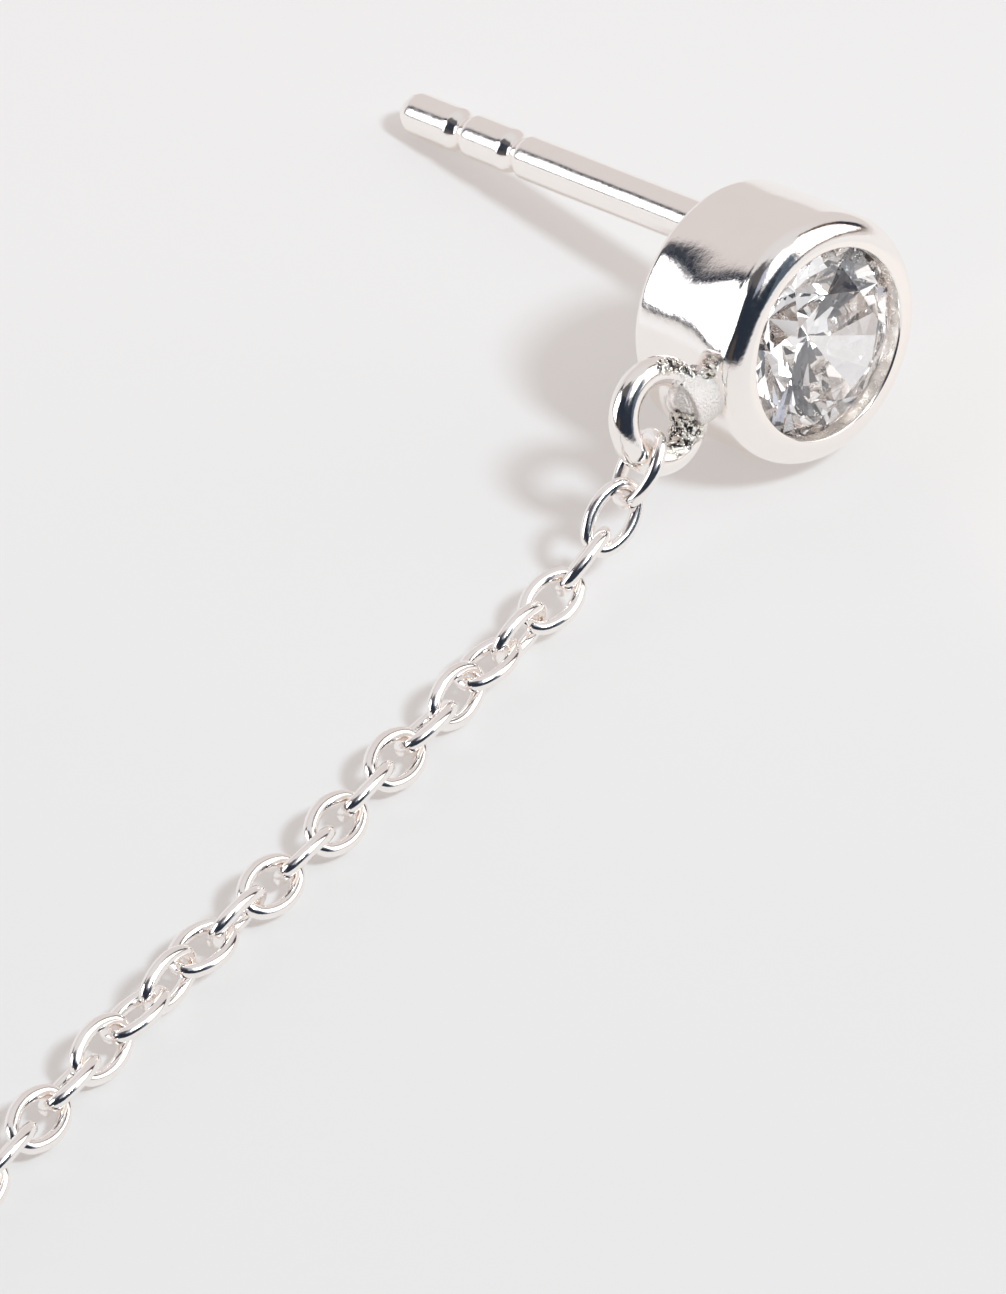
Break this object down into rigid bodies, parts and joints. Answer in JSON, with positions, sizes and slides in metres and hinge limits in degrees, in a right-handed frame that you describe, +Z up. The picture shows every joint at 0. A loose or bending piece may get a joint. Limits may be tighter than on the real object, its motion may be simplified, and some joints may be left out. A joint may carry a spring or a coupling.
{
  "type": "double stud earring",
  "caption": "Bezel-set clear stone studs with straight ear posts, joined ring to ring by a fine cable chain, to wear in neighbouring piercings.",
  "frame": {"origin": "on the resting surface, under the middle of the box round the whole earring as it lies", "axes": "+X along the chain towards the right stud, +Z up from the surface, posts towards +Y and stones towards -Y"},
  "size_m": [0.0574, 0.0134, 0.0053],
  "materials": {
    "silver": "polished sterling silver with fine scratches",
    "stone": "clear faceted cubic zirconia"
  },
  "bodies": {
    "root": {"stud_metal_right": "silver", "stud_metal_left": "silver", "stone_right": "stone", "stone_left": "stone", "link_01": "silver", "link_02": "silver", "link_03": "silver", "link_04": "silver", "link_05": "silver", "link_06": "silver", "link_07": "silver", "link_08": "silver", "link_09": "silver", "link_10": "silver", "link_11": "silver", "link_12": "silver", "link_13": "silver", "link_14": "silver", "link_15": "silver", "link_16": "silver", "link_17": "silver", "link_18": "silver", "link_19": "silver", "link_20": "silver", "link_21": "silver", "link_22": "silver", "link_23": "silver", "link_24": "silver", "link_25": "silver", "link_26": "silver", "link_27": "silver", "link_28": "silver", "link_29": "silver", "link_30": "silver", "link_31": "silver", "link_32": "silver", "link_33": "silver", "link_34": "silver", "link_35": "silver", "link_36": "silver", "link_37": "silver", "link_38": "silver"}
  },
  "joints": []
}
